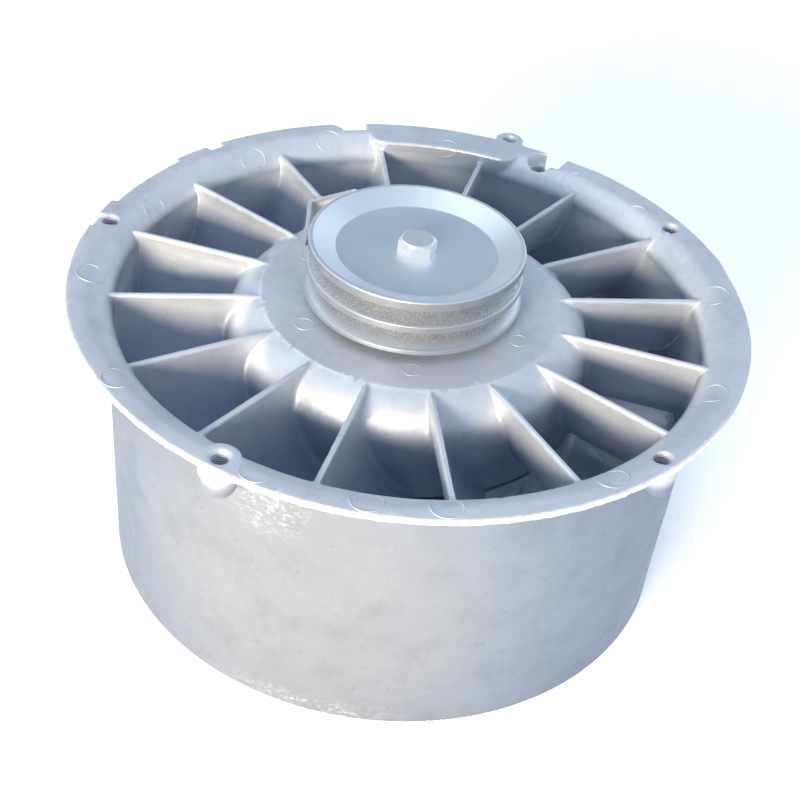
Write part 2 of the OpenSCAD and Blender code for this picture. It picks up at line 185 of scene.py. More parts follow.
class Plan:
    """The plan of a grid: x and y of every column, with radius and azimuth, and its heights."""

    def __init__(self, reach_x, reach_y, low, high, voxel):
        self.voxel = voxel
        self.x0, self.y0, self.z0 = reach_x[0], reach_y[0], low
        xs = np.arange(reach_x[0], reach_x[1], voxel, dtype=np.float32)
        ys = np.arange(reach_y[0], reach_y[1], voxel, dtype=np.float32)
        self.heights = np.arange(low, high, voxel, dtype=np.float32)
        self.x, self.y = np.meshgrid(xs, ys, indexing="ij")
        self.r = np.hypot(self.x, self.y)
        self.az = np.degrees(np.arctan2(self.y, self.x))
        self.step = 0.25
        self.radii = np.arange(0, self.r.max() + 2 * self.step, self.step, dtype=np.float32)
        place = self.r / self.step
        self.low_index = place.astype(np.int32)
        self.part = place - self.low_index

    def profile(self, points):
        """Table of a section's field, by height and radius."""
        return polygon_field(points, self.radii[None, :], self.heights[:, None])

    def turned(self, row):
        """One height of a section's field, turned around the axis."""
        return row[self.low_index] * (1 - self.part) + row[self.low_index + 1] * self.part

    def from_point(self, radius, azimuth):
        """Distance of every column from the vertical line at a radius and an azimuth."""
        a = math.radians(azimuth)
        return np.hypot(self.x - radius * math.cos(a), self.y - radius * math.sin(a))

    def local(self, azimuth):
        """x and y of every column in a frame turned to an azimuth."""
        a = math.radians(azimuth)
        along = self.x * math.cos(a) + self.y * math.sin(a)
        across = -self.x * math.sin(a) + self.y * math.cos(a)
        return along, across

    def off_az(self, azimuth):
        """Degrees between every column and an azimuth."""
        return np.abs((self.az - azimuth + 180) % 360 - 180)

    def sector(self, inner, outer, start, end, corner=0.0):
        """Part of a flat ring between two azimuths, with its inner corners rounded."""
        middle, half = (start + end) / 2, math.radians((end - start) / 2)
        turn = np.radians(self.off_az(middle))
        sides = self.r * np.sin(np.clip(turn - half, -1.5, 1.5))
        return np.maximum(rounded_corner(inner - self.r, sides, corner), self.r - outer)


def sample(field, at):
    """Field's value at each place, given in grid steps."""
    low = np.clip(at.astype(np.int32), 0, np.array(field.shape) - 2)
    part = (at - low).astype(np.float32)
    total = np.zeros(len(at), np.float32)
    for corner in range(8):
        step = np.array([corner >> 2 & 1, corner >> 1 & 1, corner & 1])
        share = np.prod(np.where(step, part, 1 - part), axis=1)
        i, j, k = (low + step).T
        total += share * field[i, j, k]
    return total


def slopes(field, at):
    """Outward normals of the field's surface at each place, given in grid steps."""
    reach = 0.6
    columns = []
    for axis in (1, 2, 0):
        step = np.zeros(3)
        step[axis] = reach
        columns.append(sample(field, at + step) - sample(field, at - step))
    normals = np.stack(columns, axis=1)
    return normals / np.maximum(np.linalg.norm(normals, axis=1, keepdims=True), 1e-9)


def surface_mesh(name, field, plan):
    """Mesh of a field's zero surface, shaded by its slope. The field's axes are height, x and y."""
    limit = BAND * plan.voxel
    grid = openvdb.FloatGrid(limit)
    grid.copyFromArray(np.clip(field, -limit, limit), tolerance=1e-4)
    points, triangles, quads = grid.convertToPolygons(isovalue=0.0, adaptivity=ADAPTIVITY)
    start = np.array([plan.x0, plan.y0, plan.z0])
    places = start + points[:, [1, 2, 0]] * plan.voxel
    faces = [tuple(f) for f in triangles.tolist()] + [tuple(f) for f in quads.tolist()]
    piece = mesh_object(name, places, faces)
    piece.data.normals_split_custom_set_from_vertices(slopes(field, points))
    return piece


# ---- Meshes ----


def mesh_object(name, places, faces, smooth=True):
    """A mesh object from places in millimetres, with its faces turned outwards."""
    mesh = bpy.data.meshes.new(name)
    mesh.from_pydata((np.asarray(places) * MM).tolist(), [], faces)
    mesh.update()
    work = bmesh.new()
    work.from_mesh(mesh)
    if work.calc_volume(signed=True) < 0:
        bmesh.ops.reverse_faces(work, faces=work.faces)
    work.to_mesh(mesh)
    work.free()
    mesh.polygons.foreach_set("use_smooth", [smooth] * len(mesh.polygons))
    piece = bpy.data.objects.new(name, mesh)
    bpy.context.scene.collection.objects.link(piece)
    return piece


def shade_by_area(piece):
    """Shades each vertex by its larger faces, so that flats stay flat beside their rounded edges."""
    mesh = piece.data
    normals = np.zeros((len(mesh.vertices), 3))
    for face in mesh.polygons:
        normals[list(face.vertices)] += np.array(face.normal) * face.area
    normals /= np.maximum(np.linalg.norm(normals, axis=1, keepdims=True), 1e-12)
    mesh.normals_split_custom_set_from_vertices(normals)


def rounded(points, radii, steps=6):
    """A closed outline with each corner rounded by its own radius."""
    out = []
    n = len(points)
    for i, (here, radius) in enumerate(zip(points, radii)):
        p = Vector(here)
        before = Vector(points[i - 1]) - p
        after = Vector(points[(i + 1) % n]) - p
        if radius <= 0:
            out.append(tuple(p))
            continue
        half = before.angle(after) / 2
        cut = min(radius / math.tan(half), 0.49 * before.length, 0.49 * after.length)
        start = p + before.normalized() * cut
        end = p + after.normalized() * cut
        for k in range(steps + 1):
            t = k / steps
            out.append(tuple((1 - t) ** 2 * start + 2 * t * (1 - t) * p + t * t * end))
    return out


def lathe(name, outline, segments=288):
    """A closed outline of (radius, height) turned around the axis."""
    n = len(outline)
    places, faces = [], []
    for s in range(segments):
        t = 2 * math.pi * s / segments
        places += [(r * math.cos(t), r * math.sin(t), z) for r, z in outline]
    for s in range(segments):
        a, b = s * n, (s + 1) % segments * n
        faces += [(a + i, b + i, b + (i + 1) % n, a + (i + 1) % n) for i in range(n)]
    piece = mesh_object(name, places, faces)
    shade_by_area(piece)
    return piece


def swept(name, rings, closed):
    """A tube through rings of the same number of points, closed on itself or capped."""
    n = len(rings[0])
    places = [p for ring in rings for p in ring]
    faces = []
    for s in range(len(rings) if closed else len(rings) - 1):
        a, b = s * n, (s + 1) % len(rings) * n
        faces += [(a + i, b + i, b + (i + 1) % n, a + (i + 1) % n) for i in range(n)]
    if not closed:
        faces.append(tuple(range(n)))
        faces.append(tuple(reversed(range(len(places) - n, len(places)))))
    return mesh_object(name, places, faces)


def thread(name, minor, major, low, high, centre, segments=48):
    """A helical ridge that stands in from the wall of a hole."""
    count = int((high - low) / TAP_PITCH * segments)
    half = TAP_PITCH * 0.31
    crest = 0.07
    back = major + 0.25
    section = [(back, -half), (major, -half), (minor, -crest), (minor, crest), (major, half), (back, half)]
    rings = []
    for s in range(count + 1):
        t = 2 * math.pi * s / segments
        grown = max(0.05, min(1.0, s / segments * 2, (count - s) / segments * 2))
        z = low + s / segments * TAP_PITCH
        ring = []
        for r, h in section:
            depth = back + (r - back) * grown
            ring.append((centre[0] + depth * math.cos(t), centre[1] + depth * math.sin(t), z + h))
        rings.append(ring)
    return swept(name, rings, closed=False)


# ---- The casting: flange, mouth, shroud, guide vanes and hub in one ----


def casing_outline():
    outer = arc(MOUTH_EDGE_R, MOUTH_Z, MOUTH_R - FLANGE_T, 142, 90, 10)
    inner = arc(MOUTH_EDGE_R, MOUTH_Z, MOUTH_R, 90, 180, 24)
    edge = [(FLANGE_R + 4, FLANGE_TOP - FLANGE_T), (FLANGE_R + 4, FLANGE_TOP)]
    wall = [(DUCT_R, 0), (SPIGOT_R, 0), (SPIGOT_R, SPIGOT_LEN), (WALL_TOP_R, FLANGE_TOP - 11)]
    return wall + outer + edge + inner + [(DUCT_R, TAPER_END)]


def inner_air_outline():
    """Section of the air inside the duct and above the mouth, which no boss may reach into."""
    inner = arc(MOUTH_EDGE_R, MOUTH_Z, MOUTH_R, 180, 90, 24)
    top = FLANGE_TOP + 9
    return [(120, -9), (DUCT_R, -9), (DUCT_R, TAPER_END)] + inner + [(MOUTH_EDGE_R, top), (120, top)]


def pad_outline():
    """Section of the flat pad that reaches in over the mouth."""
    inner = PAD_IN_R - 3
    under = [(inner, 22), (168, 13), (174, 6), (180, 3), (188, 2)]
    over = [(188, -3), (inner, -3)]
    return [(radius, FLANGE_TOP - below) for radius, below in under + over]


def hub_outline():
    centre = (HUB_R - SHOULDER_R, HUB_FACE - SHOULDER_R)
    face = [(BORE_R, HUB_FACE), (HUB_FACE_R, HUB_FACE)]
    shoulder = arc(*centre, SHOULDER_R, 77, 0, 24)
    skirt = [(HUB_R, HUB_END), (HUB_R - HUB_WALL, HUB_END)]
    inside = arc(*centre, SHOULDER_R - HUB_WALL, 0, 80, 12)
    tube = [(TUBE_R, HUB_FACE - 7), (TUBE_R, TUBE_END), (BORE_R, TUBE_END)]
    return face + shoulder + skirt + inside + tube


def vane_reach_outline():
    """Where the vanes may be: from the middle of the hub's wall to the middle of the duct's."""
    inner = arc(HUB_R - SHOULDER_R, HUB_FACE - SHOULDER_R, SHOULDER_R - 2, 0, 74, 12)
    outer = arc(MOUTH_EDGE_R, MOUTH_Z, MOUTH_R - 2, 90, 180, 16)
    low = HUB_END - 4
    top = [(HUB_FACE_R - 0.5, FLANGE_TOP - 4), (MOUTH_EDGE_R, FLANGE_TOP - 2)]
    return [(HUB_R - 2, low)] + inner + top + outer + [(DUCT_R + 2, low)]


def vane_field(across, radius, height):
    """Field of one vane's outline: across is around the axis, and height is along it."""
    drop = VANE_TOP + VANE_FLAT - VANE_T / 2 - height
    turn = np.clip(np.arctan2(drop, VANE_CAMBER_R - across), 0, math.radians(VANE_TURN))
    nose_x = VANE_CAMBER_R * (1 - np.cos(turn))
    nose_y = VANE_CAMBER_R * np.sin(turn)
    half = VANE_T / 2 - 0.5 * turn / math.radians(VANE_TURN)
    half = half - 1.1 * np.clip((HUB_FACE_R + 8 - radius) / 8, 0, 1) * (drop < 9)
    body = np.hypot(across - nose_x, drop - nose_y) - half
    return blend_cut(body, VANE_TOP - height + 0 * body, 0.7)


def pocket_outline(inset):
    """Plan of the pocket in the hub's face, x and y, drawn in by an inset."""
    w = inset
    return [
        (-67.5 + w, 40), (-67.5 + w, 60), (-69.5 + w, 91.5 - 0.6 * w),
        (-42.5 - 0.3 * w, 111.5 - 1.1 * w), (-28 - w, 98 - w), (-22 - w, 60),
    ]


def cast_waviness(plan, z):
    """The slow unevenness of a cast wall, and the shallow band around the middle of the shroud."""
    x, y = plan.x, plan.y
    swell = np.sin(x * 0.11 + 0.9 * np.sin(z * 0.05)) * np.sin(y * 0.093 + z * 0.071)
    uneven = 0.05 * swell + 0.03 * np.sin(x * 0.31 + y * 0.27) * np.sin(z * 0.23 - y * 0.19)
    if abs(z - SWELL_Z) > SWELL_REACH:
        return uneven
    strength = 0.12 + 0.22 * np.exp(-(plan.off_az(-97) / 14) ** 2)
    return uneven + (plan.r > DUCT_R + 3) * strength * math.exp(-((z - SWELL_Z) / 7) ** 2)


def flange_reach(plan):
    """Outer radius of the flange at every column: fuller at the right, and rough from filing in front."""
    fuller = 1.4 * soft_step(20 - plan.off_az(37.5), 6)
    filed = soft_step(62 - plan.off_az(-98), 30)
    a = np.radians(plan.az)
    rough = 0.22 + 0.12 * np.sin(61 * a) + 0.10 * np.sin(97 * a + 1.3) + 0.08 * np.sin(171 * a + 0.4)
    return FLANGE_R + fuller - filed * np.maximum(rough, 0)


class Flange:
    """What stands on the flange and what is cut from it, laid out in plan."""

    def __init__(self, plan):
        self.plan = plan
        self.air = plan.profile(inner_air_outline())
        self.pad_section = plan.profile(pad_outline())
        self.reach = flange_reach(plan)
        self.holes = [plan.from_point(FIXING_R, az) for az in FIXING_AZ]
        self.spot = plan.from_point(FIXING_R, SPOT_FACE_AZ) - SPOT_FACE_R
        self.ear = plan.from_point(EAR_R, EAR_AZ)
        along, side = plan.local(EAR_AZ)
        widening = np.maximum(0, 190.5 - along)
        web_sides = np.abs(side) - 7.8 - 1.25 * widening
        self.ear_web = np.maximum(np.maximum(180 - along, along - EAR_R), web_sides)
        self.socket = plan.from_point(SOCKET_AT, SOCKET_AZ)
        self.pad = plan.sector(PAD_IN_R, 188, *PAD_AZ, corner=10)
        self.lobe_pad = plan.sector(179, 189, 138, 149, corner=5)
        self.cuts = [plan.sector(inner, 230, start, end, corner=0.8) for inner, start, end in EDGE_CUTS]
        slant = plan.off_az(108.0) - 0.6 - np.maximum(0, plan.r - 186) * 0.28
        self.cuts.append(np.maximum(186 - plan.r, slant * 3.2))
        self.bevel = plan.sector(182.5, 230, 168.2, 172.2)
        self.tick = plan.sector(178, 188.5, -162.7, -162.3)
        along_mouth = mouth_length(plan.r, MOUTH_EDGE_R, MOUTH_R)
        self.pins = []
        for radius, az in PIN_MARKS:
            start = mouth_length(radius, MOUTH_EDGE_R, MOUTH_R)
            self.pins.append(np.hypot(along_mouth - start, np.radians(plan.off_az(az)) * radius))

    def add(self, shell, k, below):
        """The shell with its bosses, ear, socket and pads, at one height."""
        dome = max(0.0, below - BOSS_LEN + BOSS_R)
        for hole in self.holes:
            shell = blend_union(shell, np.hypot(hole, dome) - BOSS_R, 4)
        lug = np.maximum(self.socket - SOCKET_R - SOCKET_WALL, below - SOCKET_LEN)
        shell = blend_union(shell, lug, 3)
        shell = blend_union(shell, np.maximum(self.ear - EAR_LOBE_R, below - EAR_T), 3)
        shell = blend_union(shell, np.maximum(self.ear_web, below - FLANGE_T - 1), 5)
        shell = np.maximum(shell, -self.plan.turned(self.air[k]))
        pad = rounded_corner(self.pad, 0 * self.pad - below, PAD_CORNER)
        pad = np.maximum(pad, self.plan.turned(self.pad_section[k]))
        shell = blend_union(shell, pad, 0.8)
        shell = blend_union(shell, np.maximum(self.lobe_pad, below - FLANGE_T + 0.5), 1.5)
        return blend_union(shell, np.maximum(self.spot, below - 10), 0.6)

    def cut(self, shell, below):
        """The shell with its top, edge, holes and small marks cut, at one height."""
        outside = self.reach - self.plan.r
        near_ear = np.minimum(self.ear - EAR_LOBE_R - 0.5, self.ear_web)
        shell = blend_cut(shell, np.maximum(outside, -near_ear), 0.8)
        for cut in self.cuts:
            shell = blend_cut(shell, np.maximum(cut, below - 12), 1.2)
        if below < 12:
            for pin in self.pins:
                shell = shell + 0.14 * soft_step(PIN_R - pin, 1.6)
            shell = shell - 0.25 * soft_step(0.3 - self.tick, 1.2)
        shell = blend_cut(shell, np.maximum(self.bevel, below - (self.plan.r - 183) * 0.45), 0.6)
        shell = blend_cut(shell, below + 0 * shell, 0.8)
        widen = max(0.0, 0.9 - below)
        for hole in self.holes:
            shell = np.maximum(shell, -np.maximum(hole - TAP_MAJOR_R - widen, below - TAP_DEPTH))
        shell = np.maximum(shell, EAR_HOLE_R + 0.4 * widen - self.ear)
        shell = np.maximum(shell, -np.maximum(self.socket - SOCKET_R - 0.5 * widen, below - SOCKET_DEPTH))
        shell = np.maximum(shell, SOCKET_R - SOCKET_STEP - self.socket)
        return np.maximum(shell, -below)


def make_casting():
    plan = Plan((-196, 196), (-196, 206), -3, FLANGE_TOP + 4, VOXEL)
    casing = plan.profile(casing_outline())
    hub = plan.profile(hub_outline())
    reach = plan.profile(vane_reach_outline())
    flange = Flange(plan)

    pitch = math.radians(VANE_PITCH)
    nearest = np.radians((plan.az - VANE_PHASE + VANE_PITCH / 2) % VANE_PITCH - VANE_PITCH / 2)
    across = [plan.r * np.sin(nearest + j * pitch) for j in (0, 1)]
    pocket_out = np.maximum(polygon_field(pocket_outline(0), plan.x, plan.y), POCKET_OUT_R - plan.r)
    hollow = polygon_field(pocket_outline(POCKET_WALL), plan.x, plan.y)
    pocket_in = np.maximum(hollow, POCKET_IN_R - plan.r)
    hub_pins = [plan.from_point(HUB_PIN_AT, az) for az in HUB_PIN_AZ]
    inward = soft_step(134 - plan.r, 12)

    field = np.empty((len(plan.heights),) + plan.x.shape, np.float32)
    for k, z in enumerate(plan.heights):
        below = FLANGE_TOP - z
        shell = plan.turned(casing[k])
        if below < 40:
            shell = flange.cut(flange.add(shell, k, below), below)
        core = plan.turned(hub[k])
        drop = HUB_FACE - z
        if -2 < drop < 60:
            core = blend_union(core, np.maximum(pocket_out, np.maximum(-drop, drop - POCKET_DEPTH)), 3)
            core = blend_cut(core, np.maximum(pocket_in, drop - POCKET_DEPTH + POCKET_WALL), 1)
            if drop < 4:
                for pin in hub_pins:
                    core = core + 0.2 * soft_step(HUB_PIN_R - pin, 1.6)
            core = np.maximum(core, -drop)
        metal = np.minimum(shell, core)
        if VANE_TOP - VANE_DROP < z < VANE_TOP + 3:
            vanes = np.minimum(*[vane_field(a, plan.r, z) for a in across])
            vanes = np.maximum(vanes, plan.turned(reach[k]))
            if -2 < drop < 60:
                vanes = np.maximum(vanes, -pocket_in)
            fillet = 0.6 + inward * (0.6 + 2.2 * float(soft_step(VANE_TOP - z - 8, 12)))
            metal = blend_union(metal, vanes, fillet)
        field[k] = np.maximum(metal + cast_waviness(plan, z), -z)
    return surface_mesh("cast_shell", field, plan)


def mouth_point(length, azimuth, edge_r, curve_r):
    """Place and outward normal on the mouth: length runs outwards along its section, from the flat's edge."""
    lean = min(max(-length / curve_r, 0.0), math.pi / 2)
    radius = edge_r - curve_r * math.sin(lean) + max(length, 0.0)
    z = FLANGE_TOP - curve_r * (1 - math.cos(lean)) + min(0.0, length + curve_r * math.pi / 2)
    a = math.radians(azimuth)
    place = Vector((radius * math.cos(a), radius * math.sin(a), z))
    normal = Vector((-math.sin(lean) * math.cos(a), -math.sin(lean) * math.sin(a), math.cos(lean)))
    return place, normal


def mouth_length(radius, edge_r, curve_r):
    """Length along the mouth's section, outwards from the flat's edge to a radius."""
    lean = np.arcsin(np.clip((edge_r - radius) / curve_r, 0, 1))
    return np.where(radius < edge_r, -curve_r * lean, radius - edge_r)


def pin_ring(at_radius, at_azimuth, ring_radius, drop=0.0):
    """The thin raised line that an ejector pin leaves, highest on the side away from the axis."""
    steps = 72
    if drop > 0:
        edge_r, curve_r = 0.0, PAD_CORNER
    elif PAD_AZ[0] < at_azimuth < PAD_AZ[1]:
        edge_r, curve_r = PAD_IN_R + PAD_CORNER, PAD_CORNER
    else:
        edge_r, curve_r = MOUTH_EDGE_R, MOUTH_R
    start = float(mouth_length(at_radius, edge_r, curve_r))
    path = []
    for s in range(steps):
        t = 2 * math.pi * s / steps
        side = math.degrees(ring_radius * math.sin(t) / at_radius)
        place, normal = mouth_point(start + ring_radius * math.cos(t), at_azimuth + side, edge_r, curve_r)
        height = 0.13 + 0.10 * math.cos(t) + 0.05 * math.sin(5 * t + at_azimuth)
        path.append((place - Vector((0, 0, drop)), normal, height))
    rings = []
    for s, (place, normal, height) in enumerate(path):
        along = path[(s + 1) % steps][0] - path[s - 1][0]
        out = along.cross(normal).normalized()
        sunk = place - 0.35 * normal
        rings.append([
            tuple(sunk - 0.35 * out), tuple(place - 0.26 * out),
            tuple(place + height * normal), tuple(place + 0.26 * out), tuple(sunk + 0.35 * out),
        ])
    return swept("pin_ring", rings, closed=True)


def join(name, pieces):
    """One object from several meshes."""
    work = bmesh.new()
    for piece in pieces:
        work.from_mesh(piece.data)
        bpy.data.objects.remove(piece)
    mesh = bpy.data.meshes.new(name)
    work.to_mesh(mesh)
    work.free()
    joined = bpy.data.objects.new(name, mesh)
    bpy.context.scene.collection.objects.link(joined)
    return joined


def make_pin_rings():
    rings = [pin_ring(*mark, PIN_R) for mark in PIN_MARKS]
    rings += [pin_ring(HUB_PIN_AT, az, HUB_PIN_R, drop=FLANGE_TOP - HUB_FACE) for az in HUB_PIN_AZ]
    return join("ejector_pin_rings", rings)


# ---- Rotor ----

ROTOR_TOP = 105.0
ROTOR_R = 102.0
ROTOR_WALL = 5.0
ROTOR_END = 54.0
WEB_Z = 60.0
WEB_T = 7.0
BOSS_OUT_R = 27.0
BOSS_END = 56.0
SHAFT_R = 12.5
BLADE_COUNT = 10
BLADE_PITCH = 360.0 / BLADE_COUNT
BLADE_CHORD = 60.0
BLADE_T = 5.0
BLADE_CAMBER = 6.0
BLADE_PHASE = -18.2
BLADE_SWEEP = -0.386
BLADE_SWEEP_R = 125.0
STAGGER_HUB = 46.0
STAGGER_TIP = 61.0
BLADE_TOP = ROTOR_TOP - 5 - BLADE_T / 2
TIP_R = DUCT_R - 1.0
RIB_PITCH = 72.0
RIB_T = 5.0
RIB_Z = WEB_Z + WEB_T + 4
RIB_HALF_H = 5.0
RIB_END_R = 98.0


def rotor_outline():
    inner = ROTOR_R - ROTOR_WALL
    boss_top = min(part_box("impeller_hub")[1].z / MM, ROTOR_TOP)
    low = [(SHAFT_R, BOSS_END), (BOSS_OUT_R, BOSS_END), (BOSS_OUT_R + 2, WEB_Z), (inner - 4, WEB_Z)]
    ring = [(inner, WEB_Z - 3), (inner, ROTOR_END), (ROTOR_R, ROTOR_END)]
    ring += [(ROTOR_R, ROTOR_TOP), (inner, ROTOR_TOP)]
    web = [(inner - 1, WEB_Z + WEB_T + 4), (inner - 5, WEB_Z + WEB_T), (BOSS_OUT_R + 4, WEB_Z + WEB_T)]
    boss = [(BOSS_OUT_R, WEB_Z + WEB_T + 4), (BOSS_OUT_R - 4, boss_top), (SHAFT_R, boss_top)]
    return low + ring + web + boss


def make_impeller():
    plan = Plan((-164, 164), (-164, 164), 48, ROTOR_TOP + 4, VOXEL * 1.15)
    hub = plan.profile(rotor_outline())
    radius = np.clip(plan.r, ROTOR_R - 3, TIP_R)
    share = (radius - ROTOR_R + 1) / (TIP_R - ROTOR_R + 1)
    stagger = np.radians(STAGGER_HUB + (STAGGER_TIP - STAGGER_HUB) * share)
    lead = BLADE_PHASE + BLADE_SWEEP * (radius - BLADE_SWEEP_R)
    turn = (lead - plan.az + 8) % BLADE_PITCH - 8
    arounds = [np.radians(turn + j * BLADE_PITCH) * radius for j in (0, 1)]
    limits = np.maximum(ROTOR_R - 3 - plan.r, plan.r - TIP_R)
    rib_turn = np.radians(plan.az % RIB_PITCH - RIB_PITCH / 2)
    rib = np.abs(plan.r * np.sin(rib_turn)) - RIB_T / 2
    rib = np.maximum(rib, np.maximum(BOSS_OUT_R - 3 - plan.r, plan.r - RIB_END_R))
    field = np.empty((len(plan.heights),) + plan.x.shape, np.float32)
    for k, z in enumerate(plan.heights):
        body = plan.turned(hub[k])
        body = blend_union(body, np.maximum(rib, np.abs(z - RIB_Z) - RIB_HALF_H), 2)
        drop = BLADE_TOP - z
        blades = []
        for around in arounds:
            chord = around * np.sin(stagger) + drop * np.cos(stagger)
            rise = around * np.cos(stagger) - drop * np.sin(stagger)
            s = np.clip(chord / BLADE_CHORD, 0, 1)
            half = BLADE_T / 2 * (0.25 + 0.75 * np.sqrt(np.maximum(0, 1 - (2 * s - 0.9) ** 2 / 1.3)))
            camber = BLADE_CAMBER * 4 * s * (1 - s)
            blades.append(np.hypot(chord - s * BLADE_CHORD, rise - camber) - half)
        blade = np.maximum(np.minimum(*blades), limits)
        field[k] = np.maximum(blend_union(body, blade, 6), SHAFT_R - plan.r)
    return surface_mesh("impeller", field, plan)


# ---- Pulley, bolt and nut ----

PULLEY_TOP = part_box("pulley")[1].z / MM
PULLEY_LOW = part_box("pulley")[0].z / MM
PULLEY_R = 60.0
PULLEY_BACK_R = 61.0
PULLEY_HUB_R = 22.0
GROOVE_FLOOR_R = 47.0
GROOVE_HALF = 5.2
GROOVE_FLOOR_HALF = 0.72
GROOVE_PITCH = 14.2
FRONT_DISC_T = 5.3
DISH_R = 44.8
DISH_DEPTH = 5.9
BOLT_BORE_R = 6.5
BOLT_FLATS = 19.0
BOLT_HEAD_H = 7.4
NUT_FLATS = 30.0
NUT_BORE_R = 10.2


def make_pulley():
    dish = PULLEY_TOP - DISH_DEPTH
    groove = PULLEY_TOP - FRONT_DISC_T - GROOVE_HALF
    lip = groove - GROOVE_PITCH - GROOVE_HALF
    # Corners of the section as (radius, height, rounding)
    corners = [
        (BOLT_BORE_R, dish, 0.2), (DISH_R, dish, 2.0),
        (PULLEY_R - 2.5, PULLEY_TOP, 0.7), (PULLEY_R, PULLEY_TOP, 1.0),
    ]
    for z in (groove, groove - GROOVE_PITCH):
        corners += [
            (PULLEY_R, z + GROOVE_HALF, 0.7), (GROOVE_FLOOR_R, z + GROOVE_FLOOR_HALF, 0.5),
            (GROOVE_FLOOR_R, z - GROOVE_FLOOR_HALF, 0.5), (PULLEY_R, z - GROOVE_HALF, 0.7),
        ]
    corners += [
        (PULLEY_BACK_R, lip - 0.6, 0.4), (PULLEY_BACK_R, PULLEY_LOW, 0.9),
        (GROOVE_FLOOR_R - 6, PULLEY_LOW, 1.0), (GROOVE_FLOOR_R - 7, dish - 9, 2.0),
        (PULLEY_HUB_R + 1, dish - 9, 3.0), (PULLEY_HUB_R, PULLEY_LOW, 0.8),
        (SHAFT_R, PULLEY_LOW, 0.5), (SHAFT_R, dish - 7, 0.2), (BOLT_BORE_R, dish - 7, 0.2),
    ]
    points = [(r, z) for r, z, _ in corners]
    radii = [rounding for _, _, rounding in corners]
    return lathe("belt_pulley", rounded(points, radii))


def hexagon_rings(flats, low, high, turn, chamfer, both_ends):
    """Rings of points up a hexagon whose corners are cut by a cone at one end or both."""
    count, steps, base = 96, 16, 0.25
    edge = flats / 2 / math.cos(math.radians(30))
    start = low + 2 * base
    heights = [low, low + base] + [start + (high - start) * k / steps for k in range(steps + 1)]
    rings = []
    for z in heights:
        from_end = min(high - z, z - low) if both_ends else high - z
        limit = edge - max(0.0, chamfer - from_end) / math.tan(math.radians(30))
        ring = []
        for i in range(count):
            corner = (360 * i / count + 30) % 60 - 30
            r = min(flats / 2 / math.cos(math.radians(30 - abs(corner))), limit)
            if z == low and not both_ends:
                r -= base
            a = 2 * math.pi * i / count + math.radians(turn)
            ring.append((r * math.cos(a), r * math.sin(a), z))
        rings.append(ring)
    return rings


def hexagon_bolt_head(name, flats, low, high, turn, chamfer):
    """A bolt's head, closed above and below."""
    piece = swept(name, hexagon_rings(flats, low, high, turn, chamfer, both_ends=False), closed=False)
    piece.data.polygons.foreach_set("use_smooth", [False] * len(piece.data.polygons))
    return piece


def hexagon_nut(name, flats, low, high, turn, chamfer, bore):
    """A nut, with its bore as the ring's inner wall."""
    rings = hexagon_rings(flats, low, high, turn, chamfer, both_ends=True)
    count = len(rings[0])
    for z, r in ((high, bore + 1.2), (high - 1.2, bore), (low + 1.2, bore), (low, bore + 1.2)):
        a = [2 * math.pi * i / count + math.radians(turn) for i in range(count)]
        rings.append([(r * math.cos(t), r * math.sin(t), z) for t in a])
    piece = swept(name, rings, closed=True)
    piece.data.polygons.foreach_set("use_smooth", [False] * len(piece.data.polygons))
    return piece


# ---- Materials ----

SHROUD_AT = 0.1675
FLOOR_GLOW = 0.32


